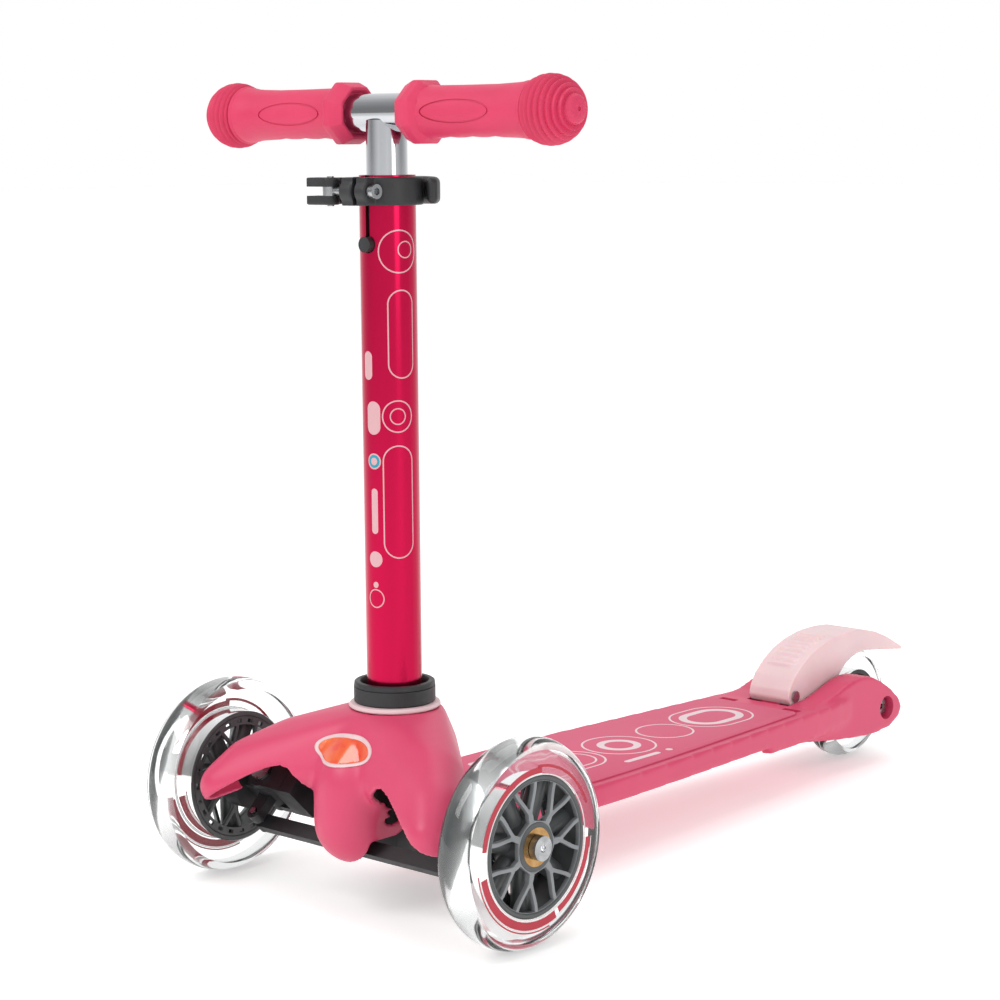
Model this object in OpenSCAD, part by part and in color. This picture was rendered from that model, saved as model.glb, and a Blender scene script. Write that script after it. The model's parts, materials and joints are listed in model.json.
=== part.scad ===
// Three-wheeled kick scooter for small children, steered by leaning.
// +X is the rider's left, -Y is the way it rolls, +Z is up. The origin is on the ground under its middle.

/* [Overall] */
// Distance between the front and the rear axle
wheelbase = 485; // [440:1:590]
// Distance between the middles of the two front wheels
track = 242; // [236:2:300]
// Height of the handlebar's centre line at its lowest setting
bar_height = 460; // [450:1:560]
// How far the handlebar can be raised
bar_travel = 190; // [100:5:190]

/* [Wheels] */
// Outer diameter of a front wheel
front_d = 120; // [110:1:144]
// Outer diameter of the rear wheel
rear_d = 80; // [70:1:90]
// Width of every tyre
tyre_w = 24; // [22:0.2:29]
// Outer diameter of a front hub, where the tyre starts
front_hub_d = 80; // [70:1:90]
// Outer diameter of the rear hub
rear_hub_d = 48; // [42:1:56]
// Forked spokes in a front hub
spoke_count = 7; // [5:1:9]
// Outer diameter of a ball bearing
bearing_d = 22; // [20:0.2:26.4]
// Bore of a ball bearing
bearing_bore = 8; // [7:0.5:9]
// Width of a ball bearing
bearing_w = 7; // [6:0.5:8]

/* [Stem and handlebar] */
// Outer diameter of the fixed stem tube
stem_d = 32.5; // [30:0.5:39]
// Wall of the fixed stem tube
stem_wall = 2; // [1.5:0.1:2.5]
// Distance of the stem behind the front axle
stem_y = 25; // [22:1:30]
// Top of the fixed stem tube
stem_top = 425; // [340:5:425]
// Outer diameter of the sliding tube
slider_d = 23.6; // [20:0.2:24]
// Wall of the sliding tube
slider_wall = 1.6; // [1.2:0.1:2]
// Outer diameter of the crossbar
bar_d = 22; // [20:0.5:24]
// Distance between the middles of the two ball ends
ball_span = 250; // [220:5:300]
// Diameter of a grip's ball end
ball_d = 39; // [36:1:46]
// Diameter of a grip along the hand
grip_d = 29; // [27:0.5:34]
// Height of the clamp band
clamp_h = 16; // [12:1:20]

/* [Deck] */
// Height of the deck's moulded top
deck_top = 54; // [48:1:60]
// Depth of the deck's side skirts
deck_depth = 15; // [12:1:18]
// Widest part of the deck
deck_front_w = 116; // [100:2:130]
// Narrow part of the deck, ahead of the rear wheel
deck_rear_w = 88; // [80:2:96]
// Wall of the deck's skirts and ribs
deck_wall = 4; // [3:0.5:5]
// Thickness of the grip mat
mat_t = 1.2; // [1:0.1:2]

/* [Front cover] */
// Half of the span over the cover's two side toes
toe_span = 97; // [94:1:98]
// Wall of the cover
cover_wall = 3; // [2.5:0.1:3.5]

/* [Steering] */
// Distance of each kingpin from the middle
kingpin_x = 78; // [76:1:80]
// Lean of the kingpins from upright, in degrees
kingpin_tilt = 45; // [40:1:50]
// Diameter of a kingpin
kingpin_d = 8; // [6:0.5:9]

/* [Brake] */
// Gap between the brake pad and the rear tyre
brake_gap = 5; // [4:0.5:6]
// Clear space between the rear tyre and each side of the fender
fender_gap = 2.4; // [2:0.2:4]

/* [Hidden] */
$fn = 64;
hull_fn = 32;
run = 0.04;     // radial clearance of a shaft in its bore
seat = 0.02;    // radial clearance of pieces pressed or pushed together
air = 0.5;      // clearance between pieces that move past each other
front_z = front_d / 2;
rear_z = rear_d / 2;
wheel_x = track / 2;
bar_z = bar_height;
rear_y = wheelbase;
fender_r = rear_z + brake_gap + 3;
fender_t = 4;
fender_side = 2.6;
tail_y = rear_z + 13;
mid_y = (rear_y + tail_y - front_z) / 2;
axle_d = bearing_bore - 2 * run;
beam_h = 24;
stem_low = front_z + beam_h;
collar_z = stem_low + 35;
collar_h = 12.5;
collar_d = stem_d + 15.5;
rim_d = collar_d + 6;
rim_h = 3;
dome_d = rim_d + 8;
clamp_z = stem_top - clamp_h / 2 - 1;
clamp_r = stem_d / 2 + seat;
clamp_out_r = stem_d / 2 + 4.5;
bolt_y = -clamp_out_r - 1;
lever_pin_x = -clamp_out_r - 3.25;
lever_r = clamp_out_r + 3;
lever_t = 6.5;
lever_h = clamp_h - 1;
button_z = stem_top - 39;
button_d = 9;
button_travel = 2;
key_w = 5;
slot_w = 3;
slider_low = button_z - bar_travel - 18;
grip_in = 21;
grip_l = ball_span / 2 - grip_in;
bush_low = button_z - 12;
disc_x = wheel_x - tyre_w / 2 - 15;
disc_w = 13.4;
disc_d = 36;
barrel_h = 18;
ear_t = 4.5;
arm_l = 22;
rod_front = -17;
rod_pin_d = 4;
rubber_d = 13;
rubber_l = 4;
housing_bottom = 30;
socket_d = stem_d + 16;
fender_w = tyre_w + 2 * (fender_gap + fender_side);
ear_in = fender_w / 2 + 1.5;
ear_out = ear_in + 19.5;
brake_y = rear_y - rear_z - 43;
brake_z = deck_top + 5;
lug_w = 15;
mat_start = 96;
mat_end = brake_y - 24;
pad_t = 2.8;
pink = [0.91, 0.38, 0.5];
silver = [0.85, 0.85, 0.87];
black = [0.07, 0.07, 0.08];
grey = [0.45, 0.46, 0.46];

// Moves the drawing frame, which is at the front axle, to the frame of the whole scooter.
module placed() translate([0, -mid_y, 0]) children();

// A tube along Z, from low to high.
module tube(d, bore, low, high) {
  translate([0, 0, low]) difference() {
    cylinder(d = d, h = high - low);
    translate([0, 0, -1]) cylinder(d = bore, h = high - low + 2);
  }
}

module at_stem() placed() translate([0, stem_y, 0]) children();
module along_x() rotate([0, 90, 0]) children();
module at_front_axle(side) placed() translate([side * wheel_x, 0, front_z])
  mirror([side < 0 ? 1 : 0, 0, 0]) children();
module at_rear_axle() placed() translate([0, rear_y, rear_z]) children();
// Children are drawn with +Z along the kingpin and +Y up and back.
module at_kingpin(side) {
  placed() translate([side * kingpin_x, 0, front_z]) mirror([side < 0 ? 1 : 0, 0, 0])
    rotate([kingpin_tilt, 0, 0]) children();
}

// ---- wheels: drawn with +X outwards from the middle plane ----
module tyre(d, hub_d, w) {
  crown = w / 2 + 2;
  along_x() rotate_extrude() intersection() {
    union() {
      translate([d / 2 - crown, 0]) circle(r = crown);
      translate([0, -w / 2]) square([d / 2 - crown, w]);
    }
    translate([hub_d / 2 + seat, -w / 2]) square([d / 2, w]);
  }
}

module hub(d, w, spokes) {
  rim = 3.2;
  boss_d = bearing_d + 6;
  along_x() difference() {
    union() {
      difference() {
        translate([0, 0, -w / 2 + 0.6]) cylinder(d = d, h = w - 1.2);
        translate([0, 0, -w / 2]) cylinder(d = d - 2 * rim, h = w);
      }
      translate([0, 0, -w / 2]) cylinder(d = boss_d, h = w);
      for (i = [0 : spokes - 1]) rotate([0, 0, i * 360 / spokes]) forked_spoke(boss_d / 2, d / 2 - rim, w);
    }
    translate([0, 0, -w / 2 - 1]) cylinder(d = bearing_d - 3, h = w + 2);
    for (s = [-1, 1]) translate([0, 0, s * (w / 2 - bearing_w / 2)])
      cylinder(d = bearing_d + 2 * seat, h = bearing_w + 0.01, center = true);
  }
}

// One spoke that leaves the boss single and meets the rim as two prongs.
module forked_spoke(from_r, to_r, w) {
  fork_r = from_r + (to_r - from_r) * 0.35;
  prong_angle = 24;
  prong_w = 2.2;
  length = to_r - fork_r + 1.2;
  depth = w - 7;
  translate([from_r - 1, -2, -depth / 2]) cube([fork_r - from_r + 1.6, 4, depth]);
  for (s = [-1, 1]) translate([fork_r - 0.6, 0, 0]) rotate([0, 0, s * prong_angle])
    translate([0, -prong_w / 2, -depth / 2]) cube([length, prong_w, depth]);
}

module bearings(w) {
  along_x() for (s = [-1, 1]) translate([0, 0, s * (w / 2 - bearing_w / 2)])
    tube(bearing_d, bearing_bore, -bearing_w / 2, bearing_w / 2);
}

module spacer(w) {
  along_x() tube(bearing_bore + 4, bearing_bore + 2 * run, bearing_w - w / 2, w / 2 - bearing_w);
}

module front_tyre(side) color([0.85, 0.86, 0.86, 0.5]) at_front_axle(side) tyre(front_d, front_hub_d, tyre_w);
module front_hub(side) color(grey) at_front_axle(side) hub(front_hub_d, tyre_w, spoke_count);
module front_bearings(side) color(silver) at_front_axle(side) bearings(tyre_w);
module front_spacer(side) color(silver) at_front_axle(side) spacer(tyre_w);
module tyre_left() front_tyre(1);
module tyre_right() front_tyre(-1);
module hub_left() front_hub(1);
module hub_right() front_hub(-1);
module bearings_left() front_bearings(1);
module bearings_right() front_bearings(-1);
module spacer_left() front_spacer(1);
module spacer_right() front_spacer(-1);
module tyre_rear() color([0.85, 0.86, 0.86, 0.5]) at_rear_axle() tyre(rear_d, rear_hub_d, tyre_w);
module hub_rear() color(black) at_rear_axle() hub(rear_hub_d, tyre_w, 5);
module bearings_rear() color(silver) at_rear_axle() bearings(tyre_w);
module spacer_rear() color(silver) at_rear_axle() spacer(tyre_w);

// ---- front steering ----
module knuckle(side) {
  reach = disc_x - kingpin_x;
  color(black) difference() {
    union() {
      at_kingpin(side) {
        cylinder(d = 20, h = barrel_h, center = true);
        translate([0, -8, -7]) cube([reach + 2, 16, 14]);
        translate([-4.5, -arm_l, -3.5]) cube([9, arm_l, 7]);
        translate([0, -arm_l, 0]) cylinder(d = 9, h = 7, center = true);
      }
      at_front_axle(side) along_x() translate([0, 0, disc_x - wheel_x]) cylinder(d = disc_d, h = disc_w);
    }
    at_kingpin(side) cylinder(d = kingpin_d + 2 * run, h = barrel_h + 2, center = true);
    for (s = [-1, 1]) at_kingpin(side) translate([0, 0, s * barrel_h / 2])
      cylinder(d = rubber_d + 2 * air, h = 2 * rubber_l + 2 * air, center = true);
    at_kingpin(side) translate([0, -arm_l, 0]) cylinder(d = rod_pin_d + 2 * air, h = 9, center = true);
    at_front_axle(side) along_x() translate([0, 0, disc_x - wheel_x - 4])
      cylinder(d = axle_d + 2 * seat, h = 40);
  }
}
module knuckle_left() knuckle(1);
module knuckle_right() knuckle(-1);

// Bolt that holds a front wheel to its knuckle, with a domed head outside.
module front_axle(side) {
  head_t = 4.5;
  color(silver) at_front_axle(side) along_x() difference() {
    union() {
      translate([0, 0, disc_x - wheel_x - 3]) cylinder(d = axle_d, h = wheel_x - disc_x + 3 + tyre_w / 2 + 1);
      translate([0, 0, tyre_w / 2 + 0.3]) cylinder(d = 14, h = head_t);
      translate([0, 0, disc_x - wheel_x + disc_w]) cylinder(d = 12, h = 15 - disc_w - 0.1);
    }
    translate([0, 0, tyre_w / 2 + head_t - 2]) cylinder(d = 5, h = 4, $fn = 6);
  }
}
module axle_left() front_axle(1);
module axle_right() front_axle(-1);

// Pin of one knuckle, with a head on top.
module kingpin(side) {
  length = barrel_h + 2 * ear_t + 1;
  color(silver) at_kingpin(side) {
    cylinder(d = kingpin_d, h = length, center = true);
    translate([0, 0, length / 2]) cylinder(d = 13, h = 2.5);
  }
}
module kingpin_left() kingpin(1);
module kingpin_right() kingpin(-1);

// The rod that makes both knuckles turn together, carried on two pins.
module tie_rod() {
  color(black) placed() translate([0, 0, front_z]) rotate([kingpin_tilt, 0, 0]) translate([0, -arm_l, -9]) {
    difference() {
      union() {
        cube([2 * kingpin_x, 9, 6], center = true);
        for (s = [-1, 1]) translate([s * kingpin_x, 0, 0]) cylinder(d = 10, h = 6, center = true);
      }
      for (s = [-1, 1]) translate([s * kingpin_x, 0, 0])
        cylinder(d = rod_pin_d + 2 * seat, h = 8, center = true);
    }
  }
}
module tie_rod_pins() {
  color(silver) placed() translate([0, 0, front_z]) rotate([kingpin_tilt, 0, 0]) translate([0, -arm_l, 0])
    for (s = [-1, 1]) translate([s * kingpin_x, 0, 0]) {
      translate([0, 0, -13]) cylinder(d = rod_pin_d, h = 18);
      translate([0, 0, -14]) cylinder(d = 7, h = 2);
    }
}

// Rubber rings on the kingpins that turn the wheels straight again.
module centring_rubbers() {
  color([0.2, 0.2, 0.2]) for (side = [-1, 1]) for (s = [-1, 1]) at_kingpin(side)
    translate([0, 0, s * (barrel_h / 2 + 0.15 - rubber_l / 2)]) difference() {
      cylinder(d = rubber_d, h = rubber_l, center = true);
      cylinder(d = kingpin_d + 2 * seat, h = rubber_l + 2, center = true);
    }
}

// Black body under the cover: stem socket, cross beam and the forks of both kingpins.
module front_housing() {
  beam_half = barrel_h / 2 + ear_t + 0.3;
  beam_x = kingpin_x - 15;
  beam_y = 13;
  foot_d = 34;
  ear_gap = barrel_h / 2 + 0.3;
  color(black) difference() {
    union() {
      for (side = [-1, 1]) at_kingpin(side) translate([-30, -9.7, -beam_half + 0.2])
        cube([16, 19.4, 2 * beam_half - 0.4]);
      placed() translate([-beam_x, beam_y, front_z - beam_h / 2]) cube([2 * beam_x, 18, beam_h]);
      for (side = [-1, 1]) for (s = [-1, 1]) at_kingpin(side)
        translate([0, 0, s * (ear_gap + ear_t / 2)]) {
          cylinder(d = 20, h = ear_t, center = true);
          translate([-10, 0, 0]) cube([20, 18.8, ear_t], center = true);
        }
      at_stem() translate([0, 0, stem_low - 4]) cylinder(d = socket_d, h = collar_z - 4 - stem_low);
      at_stem() translate([0, 0, housing_bottom]) cylinder(d = foot_d, h = stem_low - housing_bottom);
      placed() translate([-24, beam_y, housing_bottom])
        cube([48, 92 - beam_y, deck_top - 4.5 - housing_bottom]);
    }
    at_stem() translate([0, 0, stem_low]) cylinder(d = stem_d + 2 * seat, h = 100);
    at_stem() translate([0, 0, stem_low - 30]) cylinder(d = 8.4, h = 40);
    at_stem() translate([0, 0, housing_bottom - 1]) cylinder(d = 18, h = stem_low - 12 - housing_bottom);
    for (side = [-1, 1]) at_kingpin(side) cylinder(d = kingpin_d + 2 * seat, h = 40, center = true);
    housing_screw_places() translate([0, 0, housing_bottom - 2]) cylinder(d = 4, h = 30);
    housing_screw_places() translate([0, 0, housing_bottom - 1]) cylinder(d = 8.4, h = 4);
  }
}
module housing_screw_places() {
  placed() for (x = [-16, 16]) for (y = [62, 84]) translate([x, y, 0]) children();
}
module housing_screws() {
  color(silver) housing_screw_places() {
    translate([0, 0, housing_bottom + 0.2]) cylinder(d = 8, h = 2.6);
    translate([0, 0, housing_bottom + 2]) cylinder(d = 3.9, h = 18);
  }
}

// Bolt that pulls the stem tube down into its socket from below.
module stem_bolt() {
  color(silver) at_stem() {
    translate([0, 0, stem_low - 19]) cylinder(d = 13, h = 5.8);
    translate([0, 0, stem_low - 14]) cylinder(d = 8, h = 34);
  }
}

// ---- stem ----
module outer_tube() {
  plug_d = stem_d - 2 * stem_wall;
  color([0.85, 0.12, 0.3]) at_stem() difference() {
    union() {
      tube(stem_d, plug_d, stem_low, stem_top);
      translate([0, 0, stem_low]) cylinder(d = stem_d - stem_wall, h = 22);
    }
    translate([0, 0, stem_low - 1]) cylinder(d = 8 + 2 * seat, h = 30);
    translate([-slot_w / 2, -stem_d, button_z]) cube([slot_w, stem_d, stem_top]);
    translate([0, 0, button_z]) rotate([90, 0, 0]) cylinder(d = button_d + 2 * air, h = stem_d);
  }
}
module tube_bush() {
  bush_d = stem_d - 2 * stem_wall - 2 * seat;
  color(black) at_stem() difference() {
    tube(bush_d, slider_d + 0.16, bush_low, stem_top);
    translate([-slot_w / 2, -stem_d, button_z]) cube([slot_w, stem_d, stem_top]);
    translate([0, 0, button_z]) rotate([90, 0, 0]) cylinder(d = button_d + 2 * air, h = stem_d);
  }
}

// Push button whose tip runs in the slot of the sliding tube and stops it at full height.
module height_button() {
  color(black) at_stem() translate([0, 0, button_z]) rotate([90, 0, 0]) {
    translate([0, 0, slider_d / 2 + button_travel + 0.6])
      cylinder(d = button_d, h = stem_d / 2 - slider_d / 2 + 0.6);
    translate([0, 0, slider_d / 2 - slider_wall]) cylinder(d = key_w, h = slider_wall + button_travel + 1);
  }
}

module stem_collar() {
  color(black) at_stem() difference() {
    tube(collar_d, stem_d + 2 * seat, collar_z, collar_z + collar_h);
    translate([0, 0, collar_z + collar_h - 5]) cylinder(d = stem_d + 6, h = 6);
  }
}
module cover_rim() {
  color([0.85, 0.8, 0.8]) at_stem() tube(rim_d, stem_d + 1, collar_z - rim_h, collar_z);
}

// ---- clamp at the top of the stem ----
module clamp_band() {
  ear_x = 9;
  ear_deep = 9;
  color(black) at_stem() translate([0, 0, clamp_z]) difference() {
    union() {
      cylinder(r = clamp_out_r, h = clamp_h, center = true);
      translate([-ear_x - 2, bolt_y - ear_deep / 2, -clamp_h / 2])
        cube([2 * ear_x + 2, ear_deep + 6, clamp_h]);
    }
    cylinder(r = clamp_r, h = clamp_h + 2, center = true);
    translate([-slot_w / 2, -60, -clamp_h]) cube([slot_w, 60, 2 * clamp_h]);
    translate([-40, bolt_y, 0]) along_x() cylinder(d = 5 + 2 * seat, h = 80);
    translate([ear_x + 0.2, bolt_y, 0]) along_x() cylinder(d = 9.6, h = 10);
  }
}
module clamp_bolt() {
  color(silver) at_stem() translate([0, bolt_y, clamp_z]) difference() {
    union() {
      translate([lever_pin_x, 0, 0]) along_x() cylinder(d = 5, h = 10 - lever_pin_x);
      translate([9.4, 0, 0]) along_x() cylinder(d = 8.4, h = 4);
      translate([lever_pin_x, 0, 0]) cylinder(d = 9, h = 6, center = true);
    }
    translate([lever_pin_x, 0, 0]) cylinder(d = 4 + 2 * run, h = 8, center = true);
    translate([10.8, 0, 0]) along_x() cylinder(d = 4.6, h = 4, $fn = 6);
  }
}
module clamp_pin() {
  color(silver) at_stem() translate([lever_pin_x, bolt_y, clamp_z])
    cylinder(d = 4, h = clamp_h + 1, center = true);
}

// Quick-release lever: a fork round the bolt's eye, and an arm that hugs the back of the band.
module clamp_lever() {
  sweep_from = 28;
  sweep_to = 196;
  fork_w = 11;
  color(black) at_stem() translate([0, 0, clamp_z]) difference() {
    union() {
      rotate([0, 0, sweep_from]) rotate_extrude(angle = sweep_to - sweep_from)
        translate([lever_r, -lever_h / 2]) square([lever_t, lever_h]);
      rotate([0, 0, sweep_from]) translate([lever_r + lever_t / 2 + 0.5, 0, 0])
        cylinder(d = lever_t + 2.2, h = lever_h - 2, center = true);
      translate([lever_pin_x, bolt_y, 0]) cylinder(d = fork_w - 1.2, h = clamp_h, center = true);
      translate([lever_pin_x - 15, bolt_y - fork_w / 2, -clamp_h / 2]) cube([14.6, fork_w, clamp_h]);
      translate([lever_pin_x - 9, bolt_y, -clamp_h / 2 + 0.2]) cube([7.2, 18, clamp_h - 0.4]);
    }
    translate([lever_pin_x - 20, bolt_y - fork_w, -3.3]) cube([27, 2 * fork_w, 6.6]);
    translate([lever_pin_x, bolt_y, 0]) cylinder(d = 4 + 2 * run, h = 40, center = true);
  }
}

// ---- handlebar ----
module inner_tube() {
  color(silver) at_stem() difference() {
    tube(slider_d, slider_d - 2 * slider_wall, slider_low, bar_z - 4);
    translate([0, 0, bar_z]) along_x() cylinder(d = bar_d + 2 * seat, h = 60, center = true);
    translate([-key_w / 2 - 0.3, -slider_d, button_z - bar_travel - key_w])
      cube([key_w + 0.6, slider_d, bar_travel + 2 * key_w]);
  }
}
module tube_plug() {
  color(black) at_stem() {
    translate([0, 0, slider_low]) cylinder(d = slider_d - 2 * slider_wall - 2 * seat, h = 10);
    translate([0, 0, slider_low - 4]) cylinder(d = slider_d + 3.6, h = 4);
  }
}
module crossbar() {
  half = ball_span / 2 - 6;
  color(silver) at_stem() translate([-half, 0, bar_z]) along_x() tube(bar_d, bar_d - 3.2, 0, 2 * half);
}

// Grip drawn along +X from the middle of the bar.
module grip(side) {
  flange_d = 37;
  ball_x = ball_span / 2;
  color([0.91, 0.28, 0.44]) at_stem() translate([0, 0, bar_z]) mirror([side < 0 ? 1 : 0, 0, 0]) difference() {
    union() {
      translate([grip_in, 0, 0]) along_x() cylinder(d = flange_d, h = 9);
      translate([grip_in + 9, 0, 0]) along_x() cylinder(d1 = flange_d, d2 = grip_d, h = 6);
      translate([grip_in + 15, 0, 0]) along_x() cylinder(d = grip_d, h = grip_l - 16);
      translate([ball_x, 0, 0]) sphere(d = ball_d);
    }
    along_x() cylinder(d = bar_d + 2 * seat, h = ball_x - 5);
  }
}
module grip_left() grip(1);
module grip_right() grip(-1);

// ---- deck ----
// Half-width of the deck outline with the wall taken off, from front to rear.
module deck_outline(inset) {
  front = deck_front_w / 2 - inset;
  rear = deck_rear_w / 2 - inset;
  end = rear_y - rear_z - 6 - inset;
  half = [[30 - inset, stem_y + 9 + inset], [front - 8, 90], [front, 120], [front - 1, 170],
    [rear + 6, rear_y - 185], [rear, rear_y - 105], [ear_out - inset, end]];
  polygon(concat(half, [for (i = [1 : len(half)]) [-half[len(half) - i][0], half[len(half) - i][1]]]));
}
// Side view of one rear ear, drawn with X rearwards and Y up.
module ear_outline() {
  hull() {
    translate([rear_y + 4, rear_z]) circle(r = 17, $fn = hull_fn);
    translate([rear_y - 33, rear_z + 6]) circle(r = 22, $fn = hull_fn);
    translate([rear_y - 95, deck_top - deck_depth - 7]) square([10, deck_depth + 7]);
  }
}
module deck() {
  low = deck_top - deck_depth;
  color(pink) brake_lug();
  color(pink) difference() {
    union() {
      placed() translate([0, 0, low]) linear_extrude(height = deck_depth) deck_outline(0);
      placed() for (s = [-1, 1]) translate([s * (ear_in + ear_out) / 2, 0, 0])
        rotate([90, 0, 90]) linear_extrude(height = ear_out - ear_in, center = true) ear_outline();
    }
    placed() translate([0, 0, low - 1]) linear_extrude(height = deck_depth - deck_wall + 1) difference() {
      deck_outline(deck_wall);
      for (i = [0 : 4]) translate([-100, 150 + 52 * i]) square([200, deck_wall]);
      translate([-deck_wall / 2, 100]) square([deck_wall, 400]);
      translate([-60, brake_y - 34]) square([120, 200]);
    }
    placed() translate([-24 - air, 0, low - 1]) cube([48 + 2 * air, 92 + air, deck_depth - deck_wall + 1]);
    at_stem() cylinder(d = socket_d + 2 * air, h = 100);
    placed() translate([-fender_w / 2 - 1, brake_y - 9, deck_top - 6]) cube([fender_w + 2, 200, 40]);
    placed() translate([-ear_in, brake_y + 28, 0]) cube([2 * ear_in, 200, 100]);
    housing_screw_places() translate([0, 0, low]) cylinder(d = 3.96, h = 13);
    at_rear_axle() along_x() cylinder(d = axle_d + 2 * seat, h = 100, center = true);
    for (s = [-1, 1]) at_rear_axle() translate([s * ear_out, 0, 0]) along_x()
      cylinder(d = 17, h = 20, center = true);
  }
}
// Lug that stands up from the deck inside the fender and holds its pin.
module brake_lug() {
  placed() translate([0, brake_y, brake_z]) along_x() difference() {
    union() {
      cylinder(d = 11, h = lug_w, center = true);
      translate([0, -5.5, -lug_w / 2]) cube([brake_z - deck_top + 8, 11, lug_w]);
    }
    cylinder(d = 5 + 2 * seat, h = lug_w + 2, center = true);
  }
}
module grip_mat() {
  inset = 6;
  color([0.93, 0.45, 0.56]) placed() intersection() {
    translate([0, 0, deck_top]) linear_extrude(height = mat_t) deck_outline(inset);
    translate([-200, mat_start, 0]) cube([400, mat_end - mat_start, 100]);
  }
}

// ---- rear axle and brake ----
module rear_axle() {
  head_x = ear_out - 10;
  color(silver) at_rear_axle() along_x() difference() {
    union() {
      translate([0, 0, -head_x - 7]) cylinder(d = axle_d, h = 2 * head_x + 7);
      translate([0, 0, head_x]) cylinder(d = 13, h = 5);
    }
    translate([0, 0, head_x + 2]) cylinder(d = 5, h = 4, $fn = 6);
  }
}
module rear_nut() {
  color(silver) at_rear_axle() along_x() translate([0, 0, -ear_out + 3.8]) difference() {
    cylinder(d = 14, h = 6, $fn = 6);
    translate([0, 0, -1]) cylinder(d = axle_d + 2 * seat, h = 8);
  }
}
module fender_arc(r, t, from, to, w) {
  at_rear_axle() rotate([90, 0, 90]) rotate([0, 0, from]) rotate_extrude(angle = to - from)
    translate([r, -w / 2]) square([t, w]);
}
// Side view of the whole fender, drawn with X rearwards and Y up from the rear axle.
module fender_outline() {
  nose = rear_z + 11;
  difference() {
    union() {
      hull() {
        translate([-19, 4]) circle(r = nose);
        translate([-6, rear_z - 15]) circle(r = 28);
      }
      hull() {
        translate([brake_y - rear_y, brake_z - rear_z]) circle(r = 8);
        translate([-50, 12]) circle(r = 18);
      }
      hull() {
        translate([-6, rear_z - 15]) circle(r = 28, $fn = hull_fn);
        translate([tail_y - 3, rear_z - 6]) circle(r = 3, $fn = hull_fn);
      }
    }
    translate([-200, -200]) square([400, 200 + brake_z - rear_z - 8]);
    translate([0, -100]) square([200, 100 + rear_z - 9]);
  }
}
module fender_slab(w) {
  at_rear_axle() rotate([90, 0, 90]) linear_extrude(height = w, center = true) children();
}
module brake_fender() {
  side_low = rear_z - 2;
  inner_w = fender_w - 2 * fender_side;
  color([0.9, 0.82, 0.82]) difference() {
    fender_slab(fender_w) fender_outline();
    fender_slab(fender_w + 2) circle(r = side_low);
    fender_slab(inner_w) circle(r = fender_r);
    fender_slab(inner_w) intersection() {
      translate([-19, 4]) circle(r = rear_z + 11 - fender_t);
      translate([brake_y - rear_y + 13, -50]) square([60, 120]);
    }
    placed() translate([0, brake_y, brake_z]) along_x() cylinder(d = 5 + 2 * run, h = 100, center = true);
    placed() translate([0, brake_y, brake_z]) along_x() cylinder(d = 13, h = inner_w, center = true);
    placed() translate([-inner_w / 2, brake_y - 9, 0]) cube([inner_w, 18, brake_z]);
  }
}
module brake_pad() {
  color(silver) fender_arc(fender_r - pad_t, pad_t - seat, 78, 108, tyre_w);
}
module brake_pin() {
  color(silver) placed() translate([0, brake_y, brake_z]) along_x() {
    cylinder(d = 5, h = fender_w + 1, center = true);
    for (s = [-1, 1]) translate([0, 0, s * (fender_w / 2 + 0.8)]) cylinder(d = 8, h = 1, center = true);
  }
}
// Two torsion springs on the brake pin, which lift the fender off the tyre.
module brake_springs() {
  wire = 1.3;
  turns = 5;
  color(grey) placed() translate([0, brake_y, brake_z]) along_x()
    for (s = [-1, 1]) for (i = [0 : turns - 1])
      translate([0, 0, s * (lug_w / 2 + 0.2 + wire / 2 + i * 1.1)])
        rotate_extrude() translate([4, 0]) circle(d = wire);
}

// ---- front cover ----
// Outer or inner skin of the cover, as three rounded arms from one dome.
module cover_skin(inset) {
  $fn = hull_fn;
  for (s = [-1, 1]) hull() {
    cover_dome(inset);
    translate([s * 56, -6, front_z + 22]) sphere(r = 21 - inset);
    translate([s * (toe_span - 16), -36, front_z + 4]) sphere(r = 16 - inset);
  }
  hull() {
    cover_dome(inset);
    translate([0, -8, front_z - 8]) sphere(r = 24 - inset);
    translate([0, -4, front_z + 14]) sphere(r = 27 - inset);
  }
}
module cover_dome(inset) {
  neck = collar_z - rim_h;
  translate([0, stem_y, neck - 30]) cylinder(r = dome_d / 2 + 5 - inset, h = 22 - inset);
  translate([0, stem_y, neck - 16]) cylinder(r = dome_d / 2 - inset, h = 16 - inset);
}
// Everything that the cover's lower edge cuts away, seen from the front.
module cover_edge() {
  notch_x = 38;
  notch_z = front_z + 16;
  notch_r = 8;
  toe_x = 24;
  toe_z = front_z - 8;
  tip_x = toe_span + 20;
  tip_z = front_z - 22;
  rotate([90, 0, 0]) linear_extrude(height = 300, center = true)
    for (s = [-1, 1]) mirror([s < 0 ? 1 : 0, 0]) {
    polygon([[toe_x, -10], [toe_x, toe_z], [notch_x - notch_r, notch_z - notch_r], [notch_x, notch_z],
      [tip_x, tip_z], [tip_x, -10]]);
    translate([notch_x, notch_z - notch_r]) circle(r = notch_r);
  }
}
module front_cover() {
  color(pink) difference() {
    placed() cover_skin(0);
    placed() cover_skin(cover_wall);
    placed() cover_edge();
    placed() for (s = [-1, 1]) translate([s * 90 - 56, -20, -1]) cube([112, 100, front_z + 22]);
    placed() translate([-45, 12, -1]) cube([90, 100, front_z + 28]);
    placed() translate([-60, rod_front, -1]) cube([120, 100, front_z - 13]);
    at_stem() cylinder(d = socket_d + 1, h = 300);
  }
}
module badge() {
  color([0.85, 0.25, 0.15]) placed() intersection() {
    difference() {
      cover_skin(-0.8);
      cover_skin(0);
    }
    translate([-14, -60, front_z + 37]) rotate([90, 0, -20]) scale([2.4, 1, 1])
      cylinder(r = 8, h = 130, center = true);
  }
}

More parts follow.
